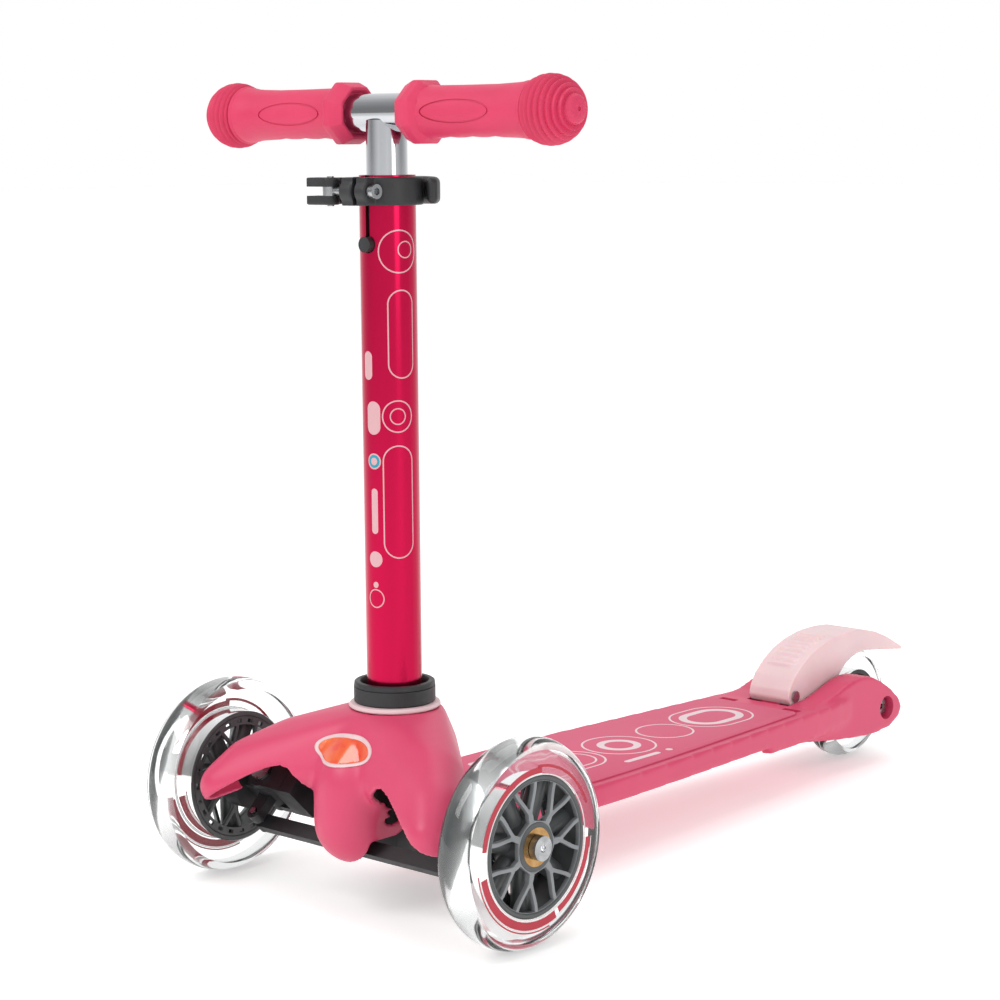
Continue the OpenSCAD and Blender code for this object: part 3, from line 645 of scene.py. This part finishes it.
def printed_arcs(name, bands):
    """Flat curved stripes on the tyre's outer side; each band is (inner radius, outer radius, from, to)."""
    strips = []
    for low, high, start, end in bands:
        count = max(6, int((end - start) / 5))
        turn = [start + (end - start) * i / (count - 1) for i in range(count)]
        outline = [rim_point(HALF_W - 0.06, high, a) for a in turn]
        outline += [rim_point(HALF_W - 0.06, low, a) for a in reversed(turn)]
        strips.append(plate(name, outline, (0.14 * MM, 0, 0)))
    return joined(strips)


def front_wheels():
    face = rib_plate("hub_ribs_left", HALF_W - 3.4, HALF_W - 0.5)
    back = rib_plate("hub_back_left", -HALF_W + 0.8, -HALF_W + 3.0)
    core = hub_core()
    ring = slotted_ring()
    tyre = clear_tyre("tyre_clear_left", rim_point(0, 0, 0), WHEEL_R / MM, HUB_MM + 0.05)
    dome = turned("axle_dome_left", [(0.4, 0), (0.4, 6.9), (1.4, 7.0), (2.6, 6.6), (3.7, 5.6), (4.5, 4.0),
                                     (4.7, 2.6), (4.6, 2.2), (3.4, 2.0), (3.4, 0)], rim_point(HALF_W, 0, 0))
    red = printed_arcs("tyre_stripes_red_left", [(41.2, 44.6, 84, 172), (44.4, 46.0, 22, 88),
                                                 (41.4, 45.0, -66, -4), (41.6, 46.2, -168, -70),
                                                 (47.4, 48.2, -172, -78)])
    white = printed_arcs("tyre_stripes_white_left", [(40.2, 40.8, -179.9, 180), (45.5, 46.0, -66, -4),
                                                     (46.5, 47.0, -168, -70)])
    for piece in (face, back, core, ring, tyre, dome, red, white):
        piece.name = piece.data.name = piece.name if piece.name.endswith("left") else piece.name + "_left"
    # The back plate, core and slotted ring get the darker copy of the grey: painted shade on the same
    # moulding as the lit face ribs.
    looks = ((face, GREY_NYLON, "grey_hub"), (back, SHADED_GREY_NYLON, "grey_hub"), (core, SHADED_GREY_NYLON, "grey_hub"),
             (ring, SHADED_GREY_NYLON, "grey_hub"), (tyre, CLEAR_PU, "clear_tyre"), (dome, CHROME, "steel"),
             (red, RED_PRINT, "clear_tyre"), (white, WHITE_PRINT, "clear_tyre"))
    for piece, look, slot in looks:
        other = copied(piece, piece.name.replace("left", "right"), mirror_x=True)
        for each, side in ((piece, "left"), (other, "right")):
            dress(each, "wheel_" + side, look)
            if each.data.name.startswith("hub_core"):
                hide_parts("hub_" + side)
            if each.data.name.startswith("tyre_clear"):
                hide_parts("tyre_" + side)


def rear_wheel():
    middle = at(0, (REAR_Y - WHEEL_Y) / MM, REAR_Z / MM)
    tyre = clear_tyre("tyre_clear_rear", middle, REAR_R / MM, REAR_HUB_R / MM + 0.05)
    dress(tyre, "wheel_rear", CLEAR_PU, ["tyre_rear"])


# ---------------------------------------------------------------- grips
def grip():
    """The left grip: an eight-sided flange, a waist for the hand and a ridged ball end."""
    ball_x, ball_r, bore = grip_high.x / MM - 19.5, 19.4, BAR_R / MM + 0.05
    inner_x = grip_low.x / MM
    middle = Vector((0, STEM_Y, BAR_Z))
    profile = [(ball_x - 6, 0), (ball_x - 6, bore), (inner_x + 8, bore), (inner_x + 8, 14.9),
               (inner_x + 14, 15.2), (inner_x + 22, 14.6), (inner_x + 40, 14.4), (inner_x + 66, 14.4),
               (inner_x + 80, 14.9),
               (inner_x + 86, 15.3), (inner_x + 89, 15.9)]
    ridges, first, last = 9, 124, 24
    for step in range(ridges * 6 + 1):
        a = math.radians(first + (last - first) * step / (ridges * 6))
        r = ball_r - 1.7 * (1 - math.cos(math.tau * step / 6)) / 2 * (1 if step > 3 else 0)
        profile.append((ball_x + r * math.cos(a), r * math.sin(a)))
    end = grip_high.x / MM
    profile += [(end - 1.1, 7.2), (end - 0.5, 6.4), (end - 0.1, 4.2), (end - 0.05, 1.3), (end - 0.9, 1.1),
                (end - 0.9, 0)]
    hand = turned("grip_body", profile, middle, steps=96)
    flange = rod("flange", middle + Vector((inner_x + 10, 0, 0)) * MM, 19.1 * MM, 5 * MM, "X", 8)
    edit(flange, lambda f: f.normal.x < -0.9)
    bpy.ops.mesh.extrude_region_move(TRANSFORM_OT_translate={"value": (-7.4 * MM, 0, 0)})
    bpy.ops.transform.resize(value=(1, 0.84, 0.84), center_override=middle)
    bpy.ops.mesh.inset(thickness=1.6 * MM)
    bpy.ops.mesh.extrude_region_move(TRANSFORM_OT_translate={"value": (3 * MM, 0, 0)})
    bpy.ops.transform.resize(value=(1, 0.88, 0.88), center_override=middle)
    edit(flange, lambda f: f.normal.x > 0.9 and f.center.x > (inner_x + 12) * MM)
    bpy.ops.mesh.extrude_region_move(TRANSFORM_OT_translate={"value": (4.5 * MM, 0, 0)})
    bpy.ops.transform.resize(value=(1, 0.8, 0.8), center_override=middle)
    edit(flange)
    bpy.ops.transform.rotate(value=math.radians(22.5), orient_axis="X", center_override=middle)
    rounded(flange, 0.6 * MM, 2, 20)
    cut(flange, rod("bore", middle, bore * MM, 300 * MM, "X"))
    weld(hand, flange)
    for x in (50, 67, 84):
        cut(hand, ball("scallop", middle + Vector((x, 0, -14.4 - 15.2)) * MM, 16.6 * MM, 48))
    oval = []
    for long, high in ((26, 6.6), (24.8, 5.5)):
        turn = [math.tau * i / 40 for i in range(40)]
        ring = [middle + Vector((66 + long * math.cos(a), -8, high * math.sin(a))) * MM for a in turn]
        oval.append(plate("oval", ring, (0, -12 * MM, 0)))
    cut(oval[0], oval[1])
    cut(oval[0], rod("core", middle, 13.95 * MM, 400 * MM, "X", 96))
    cut(hand, oval[0])
    return smooth(hand, 32)


def grips():
    left = grip()
    right = copied(left, "grip_right_body", mirror_x=True)
    left.name = left.data.name = "grip_left_body"
    smooth(right, 32)
    dress(left, "handlebar", PINK_RUBBER, ["grip_left"])
    dress(right, "handlebar", PINK_RUBBER, ["grip_right"])


# ---------------------------------------------------------------- deck
DECK_SIDE = [(30, 36), (45, 62), (53, 92), (57, 120), (58, 148), (57.2, 180), (54, 240), (50, 300),
             (46.4, 350), (43.6, 392), (41, 420), (38.4, 440)]
TOP = DECK_TOP / MM
EAR_IN, EAR_OUT = 18.5, 38.0
REAR_BACK = (REAR_Y - WHEEL_Y) / MM
PIN_BACK = (pin_low.y + pin_high.y) / 2 / MM - WHEEL_Y / MM
PIN_Z = (pin_low.z + pin_high.z) / 2 / MM


def half_width(back, inset):
    """Half of the deck's width at a place behind the front axle, less inset."""
    for (x0, y0), (x1, y1) in zip(DECK_SIDE, DECK_SIDE[1:]):
        if y0 <= back <= y1:
            return x0 + (x1 - x0) * (back - y0) / (y1 - y0) - inset
    return DECK_SIDE[-1][0] - inset


def deck():
    outline = [at(x, y, TOP) for x, y in DECK_SIDE] + [at(-x, y, TOP) for x, y in reversed(DECK_SIDE)]
    parts = [plate("deck_moulding", outline, (0, 0, -14.5 * MM))]
    ear = [(330, 53.6), (392, 53.9), (410, 56.5), (426, 61), (440, 65.4), (453, 67.2), (466, 65.6), (479, 60),
           (492, 52.2), (501, 44.6), (505, 38), (501.5, 31), (490, 25), (471, 23.4), (449, 24.4), (421, 27.4),
           (392, 31.4), (340, 37), (330, 39)]
    for side in (1, -1):
        outline = [at(side * EAR_IN, y, z) for y, z in ear]
        parts.append(plate("ear", outline, (side * (EAR_OUT - EAR_IN) * MM, 0, 0)))
        fillet = [at(side * x, y, 46) for x, y in ((EAR_OUT, 330), (EAR_OUT, 438), (44, 385), (47, 335))]
        parts.append(plate("flank", fillet, (0, 0, -11 * MM)))
    body = moulded(parts, 1.5 * MM, 7)
    cut(body, block("wheel_gap", at(-EAR_IN, PIN_BACK + 28, 0), at(EAR_IN, 600, 120)))
    cut(body, block("fender_seat", at(-EAR_IN + 0.5, PIN_BACK - 9, TOP - 6), at(EAR_IN - 0.5, 600, 120)))
    bays = []
    edges = [104] + [150 + 52 * i for i in range(5)] + [PIN_BACK - 34]
    for low, high in zip(edges, edges[1:]):
        for side in (1, -1):
            a, b = half_width(low, 7), half_width(high, 7)
            bay = [at(side * x, y, 20) for x, y in ((2, low + 4), (a, low + 4), (b, high), (2, high))]
            bays.append(plate("bay", bay, (0, 0, (TOP - 4 - 20) * MM)))
    cut(body, joined(bays))
    cut(body, rod("socket", at(0, STEM_BACK, 60), 24.8 * MM, 120 * MM, "Z"))
    cut(body, block("foot", at(-24.6, 20, 0), at(24.6, 92.6, TOP - 4)))
    for side in (1, -1):
        cut(body, rod("bore", at(side * (EAR_OUT + 0.5), REAR_BACK, REAR_Z / MM), 8.4 * MM, 21 * MM, "X"))
        cut(body, rod("axle_hole", at(side * 28, REAR_BACK, REAR_Z / MM), 4.1 * MM, 30 * MM, "X"))
        cut(body, block("slot", at(side * 20 - 0.01, 380, TOP - 5), at(side * 34, 387, TOP + 9)))
    lug = rod("lug", at(0, PIN_BACK, PIN_Z), 5.5 * MM, 14.8 * MM, "X", 48)
    weld(lug, block("lug_foot", at(-7.4, PIN_BACK - 5.4, TOP - 8), at(7.4, PIN_BACK + 5.4, PIN_Z)))
    cut(lug, rod("pin_hole", at(0, PIN_BACK, PIN_Z), 2.55 * MM, 40 * MM, "X", 48))
    weld(body, lug)
    dress(smooth(body, 40), "frame", PINK_ABS, ["deck"])


def mat():
    ends = (mat_low.y / MM - WHEEL_Y / MM, mat_high.y / MM - WHEEL_Y / MM)
    stops = [ends[0], ends[0] + 1.5, ends[0] + 5, 120, 148, 180, 240, 300, 350,
             ends[1] - 5, ends[1] - 1.5, ends[1]]
    insets = [11, 8.4, 6.6, 6.2, 6.2, 6.2, 6.2, 6.2, 6.2, 6.6, 8.4, 11]
    side = [(half_width(y, inset), y) for y, inset in zip(stops, insets)]
    outline = [at(x, y, TOP - 0.3) for x, y in side] + [at(-x, y, TOP - 0.3) for x, y in reversed(side)]
    sheet = plate("grip_mat_sheet", outline, (0, 0, mat_high.z - DECK_TOP + 0.3 * MM))
    dress(rounded(sheet, 0.5 * MM, 2, 40), "frame", DECK_MAT, ["grip_mat"])


# ---------------------------------------------------------------- rear fender
def fender():
    """The foot brake: a frosted shell that hugs the rear wheel and ends in a short tail."""
    half, arch = (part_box("brake_fender")[1].x) / MM - 0.1, 38.5
    axle = REAR_Z / MM
    outer = [(PIN_BACK - 7.6, PIN_Z - 1), (PIN_BACK - 6.5, PIN_Z + 4.5), (PIN_BACK - 1, PIN_Z + 13),
             (PIN_BACK + 8, PIN_Z + 20.5), (PIN_BACK + 20, PIN_Z + 27.5), (PIN_BACK + 34, PIN_Z + 32.2),
             (PIN_BACK + 50, PIN_Z + 35.2), (PIN_BACK + 68, PIN_Z + 36), (PIN_BACK + 84, PIN_Z + 35),
             (PIN_BACK + 100, PIN_Z + 31), (PIN_BACK + 115, PIN_Z + 25), (PIN_BACK + 128, PIN_Z + 18.2),
             (PIN_BACK + 134, PIN_Z + 15)]
    tail = [(PIN_BACK + 133, PIN_Z + 13), (PIN_BACK + 112, PIN_Z + 16), (REAR_BACK + 10, axle + 37.5)]
    sweep = [(REAR_BACK + arch * math.cos(math.radians(a)), axle + arch * math.sin(math.radians(a)))
             for a in range(84, 154, 6)]
    foot = [(REAR_BACK - 35.6, PIN_Z - 6), (PIN_BACK + 22, PIN_Z - 7.6), (PIN_BACK + 4, PIN_Z - 7.6),
            (PIN_BACK - 5, PIN_Z - 5.5)]
    outline = [at(-half, y, z) for y, z in outer + tail + sweep + foot]
    body = plate("fender_shell", outline, (2 * half * MM, 0, 0))
    parts = [body]
    for i in range(9):
        back = PIN_BACK + 7 + i * 4.6
        spans = zip(outer[1:], outer[2:])
        (y0, z0), (y1, z1) = next(span for span in spans if span[0][0] <= back <= span[1][0])
        lift = z0 + (z1 - z0) * (back - y0) / (y1 - y0)
        parts.append(rod("ridge", at(0, back, lift + 0.2), 1.5 * MM, 20 * MM, "X", 16))
    body = moulded(parts, 0.8 * MM, 5)
    inner = half - 2.6
    cut(body, rod("wheel_room", at(0, REAR_BACK, axle), 48 * MM, 2 * inner * MM, "X", 96))
    room = [(PIN_BACK - 4, PIN_Z - 20), (PIN_BACK - 4, PIN_Z + 1), (PIN_BACK + 3, PIN_Z + 9.5),
            (PIN_BACK + 14, PIN_Z + 18), (PIN_BACK + 40, PIN_Z + 22), (PIN_BACK + 60, PIN_Z - 20)]
    cut(body, plate("pin_room", [at(-inner, y, z) for y, z in room], (2 * inner * MM, 0, 0)))
    cut(body, rod("pin_hole", at(0, PIN_BACK, PIN_Z), 2.6 * MM, 60 * MM, "X", 48))
    dress(smooth(body, 40), "brake", FROSTED, ["brake_fender"])


# ---------------------------------------------------------------- clamp and collar
def clamp():
    low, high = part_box("clamp_band")
    lever_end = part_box("clamp_lever")[0].x
    bolt = (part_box("clamp_bolt")[0].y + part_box("clamp_bolt")[1].y) / 2
    pin_x = (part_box("clamp_pin")[0].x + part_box("clamp_pin")[1].x) / 2
    z, tall = (low.z + high.z) / 2, high.z - low.z
    ring_r = STEM_R + 4.4 * MM
    middle = Vector((0, STEM_Y, z))
    ears = block("ears", (-10.8 * MM, bolt - 4.4 * MM, low.z), (8.9 * MM, bolt + 8 * MM, high.z))
    band = moulded([rod("clamp_band_body", middle, ring_r, tall, "Z", 96), ears,
                    rod("boss", Vector((4.5 * MM, bolt, z)), 6.3 * MM, 8.8 * MM, "X", 48),
                    rod("nut_side", Vector((-6.3 * MM, bolt, z)), 6.9 * MM, 9 * MM, "X", 48)], 0.7 * MM, 5)
    cut(band, rod("bore", middle, STEM_R + 0.02 * MM, 2 * tall, "Z", 128))
    cut(band, block("slit", (-1.5 * MM, bolt - 30 * MM, low.z - MM), (1.5 * MM, STEM_Y, high.z + MM)))
    cut(band, rod("bolt_hole", Vector((0, bolt, z)), 2.55 * MM, 80 * MM, "X", 48))
    cut(band, rod("bolt_seat", Vector((14.2 * MM, bolt, z)), 4.7 * MM, 10 * MM, "X", 48))
    dress(smooth(band, 40), "frame", BLACK_NYLON, ["clamp_band"])

    arm_r, arm_t = STEM_R + 7.6 * MM, 6.3 * MM
    start, end = math.radians(26), math.radians(197)
    arm = []
    for step in range(15):
        a = start + (end - start) * step / 14
        swell = 1 + 0.18 * math.sin(math.pi * step / 14)
        r = arm_r + arm_t / 2
        arm.append((middle + Vector((r * math.cos(a), r * math.sin(a), 0)), arm_t / 2 * swell))
    pieces = []
    for (one, one_r), (two, two_r) in zip(arm, arm[1:]):
        lift = Vector((0, 0, tall / 2 - 3.6 * MM))
        pieces.append(hull_of("clamp_lever_body", [(one + lift, one_r), (one - lift, one_r),
                                                   (two + lift, two_r), (two - lift, two_r)]))
    hinge = Vector((pin_x, bolt, z))
    pieces.append(rod("knuckle", hinge, 5.2 * MM, tall - 0.4 * MM, "Z", 48))
    pieces.append(block("fork", (lever_end + 0.2 * MM, bolt - 5.2 * MM, z - tall / 2 + 0.2 * MM),
                        (pin_x, bolt + 5.2 * MM, z + tall / 2 - 0.2 * MM)))
    pieces.append(block("cheek", (pin_x - 9 * MM, bolt, z - tall / 2 + 0.4 * MM),
                        (pin_x - 2 * MM, bolt + 17 * MM, z + tall / 2 - 0.4 * MM)))
    lever = moulded(pieces, 0.7 * MM, 5)
    cut(lever, block("fork_gap", (pin_x - 30 * MM, bolt - 12 * MM, z - 2.6 * MM),
                     (pin_x + 6.8 * MM, bolt + 7 * MM, z + 2.6 * MM)))
    cut(lever, rod("pin_hole", hinge, 2.05 * MM, 60 * MM, "Z", 48))
    dress(smooth(lever, 40), "lever", BLACK_NYLON, ["clamp_lever"])


def collar():
    low, high = collar_low.z / MM, collar_high.z / MM
    outer, bore = (collar_high.x - collar_low.x) / 2 / MM, STEM_R / MM + 0.05
    profile = [(low, bore), (low, outer - 0.8), (low + 0.8, outer), (high - 3.6, outer),
               (high - 3.2, outer - 0.5), (high - 2.9, outer - 0.1), (high - 0.6, outer - 0.4),
               (high - 0.1, outer - 1.1), (high - 0.1, outer - 3.6), (high - 1.6, outer - 4.4),
               (high - 4.8, outer - 4.7), (high - 4.8, bore), (low, bore)]
    ring = turned("collar_ring", profile, Vector((0, STEM_Y, 0)), "Z", 112)
    dress(ring, "frame", BLACK_NYLON, ["stem_collar"])
    rim_low, rim_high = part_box("cover_rim")
    low, high, outer = rim_low.z / MM, rim_high.z / MM, (rim_high.x - rim_low.x) / 2 / MM
    profile = [(low, bore + 0.5), (low, outer - 0.9), (low + 0.9, outer), (high - 1.2, outer - 0.1),
               (high - 0.3, outer - 0.9), (high, outer - 2), (high, bore + 0.5), (low, bore + 0.5)]
    rim = turned("collar_rim", profile, Vector((0, STEM_Y, 0)), "Z", 112)
    dress(rim, "frame", PALE_PLASTIC, ["cover_rim"])


# ---------------------------------------------------------------- camera, light and floor
def look_from(azimuth, elevation, roll, target, distance, lens):
    """A camera that looks at target from azimuth and elevation, in degrees; azimuth 0 looks along +Y."""
    a, e = math.radians(azimuth), math.radians(elevation)
    back = Vector((math.sin(a) * math.cos(e), -math.cos(a) * math.cos(e), math.sin(e)))
    data = bpy.data.cameras.new("camera")
    data.lens = lens
    data.sensor_width = 36
    eye = bpy.data.objects.new("camera", data)
    bpy.context.scene.collection.objects.link(eye)
    eye.rotation_euler = back.to_track_quat("Z", "Y").to_euler()
    eye.rotation_euler.rotate_axis("Z", math.radians(roll))
    eye.location = target + back * distance
    bpy.context.scene.camera = eye


def softbox(name, place, target, size, power):
    data = bpy.data.lights.new(name, "AREA")
    data.shape = "RECTANGLE"
    data.size, data.size_y = size
    data.energy = power
    lamp = bpy.data.objects.new(name, data)
    bpy.context.scene.collection.objects.link(lamp)
    lamp.location = place
    lamp.rotation_euler = (Vector(place) - Vector(target)).to_track_quat("Z", "Y").to_euler()


def studio():
    middle = Vector((0, 0, 0.2))
    softbox("key", (-0.7, -1.7, 1.7), middle, (1.0, 1.3), 22)
    softbox("side", (2.1, -0.5, 1.0), middle, (0.8, 1.6), 9)
    softbox("top", (0.0, 0.4, 2.4), middle, (2.0, 2.0), 16)
    world = bpy.data.worlds.new("studio")
    bpy.context.scene.world = world
    world.use_nodes = True
    tree = world.node_tree
    # White in front of and behind the scooter, dimmer to its sides, so round metal shows dark edges.
    around = add(tree, "ShaderNodeTexCoord").outputs["Generated"]
    front = (0.674, -0.738, 0)
    facing = add(tree, "ShaderNodeVectorMath", {"operation": "DOT_PRODUCT"}, around, front).outputs["Value"]
    along = add(tree, "ShaderNodeMath", {"operation": "ABSOLUTE"}, facing).outputs[0]
    strength = add(tree, "ShaderNodeMapRange", {"From Max": 0.75, "To Min": 0.3, "To Max": 1.0}, Value=along)
    tree.links.new(strength.outputs["Result"], tree.nodes["Background"].inputs["Strength"])
    tree.nodes["Background"].inputs["Color"].default_value = (1, 1, 1, 1)
    rest()
    bpy.ops.mesh.primitive_plane_add(size=40, location=(0, 0, -0.0004))
    floor = bpy.context.object
    floor.name = "floor"
    paper = textured("paper_floor_pale", ("#FDFDFC", "#F9F9F8"), (0.75, 0.85), 300, 2, 0.01,
                     Emission_Color=(1, 1, 1, 1), Emission_Strength=0.34)
    floor.data.materials.append(paper)


# ---------------------------------------------------------------- the scooter
cover = dress(front_cover(), "frame", PINK_ABS, ["front_cover"])
dress(badge(cover, "badge_border", 43, 17, 0.5), "frame", PALE_PLASTIC, ["badge"])
dress(badge(cover, "badge_face", 38, 13, 0.85), "frame", BADGE)
front_wheels()
rear_wheel()
grips()
deck()
mat()
fender()
clamp()
collar()
bpy.context.scene.view_settings.view_transform = "Standard"
look_from(42.4, 8.1, -0.5, Vector((0, -120.9, 227.3)) * MM, 1529.9 * MM, 90.5)
studio()
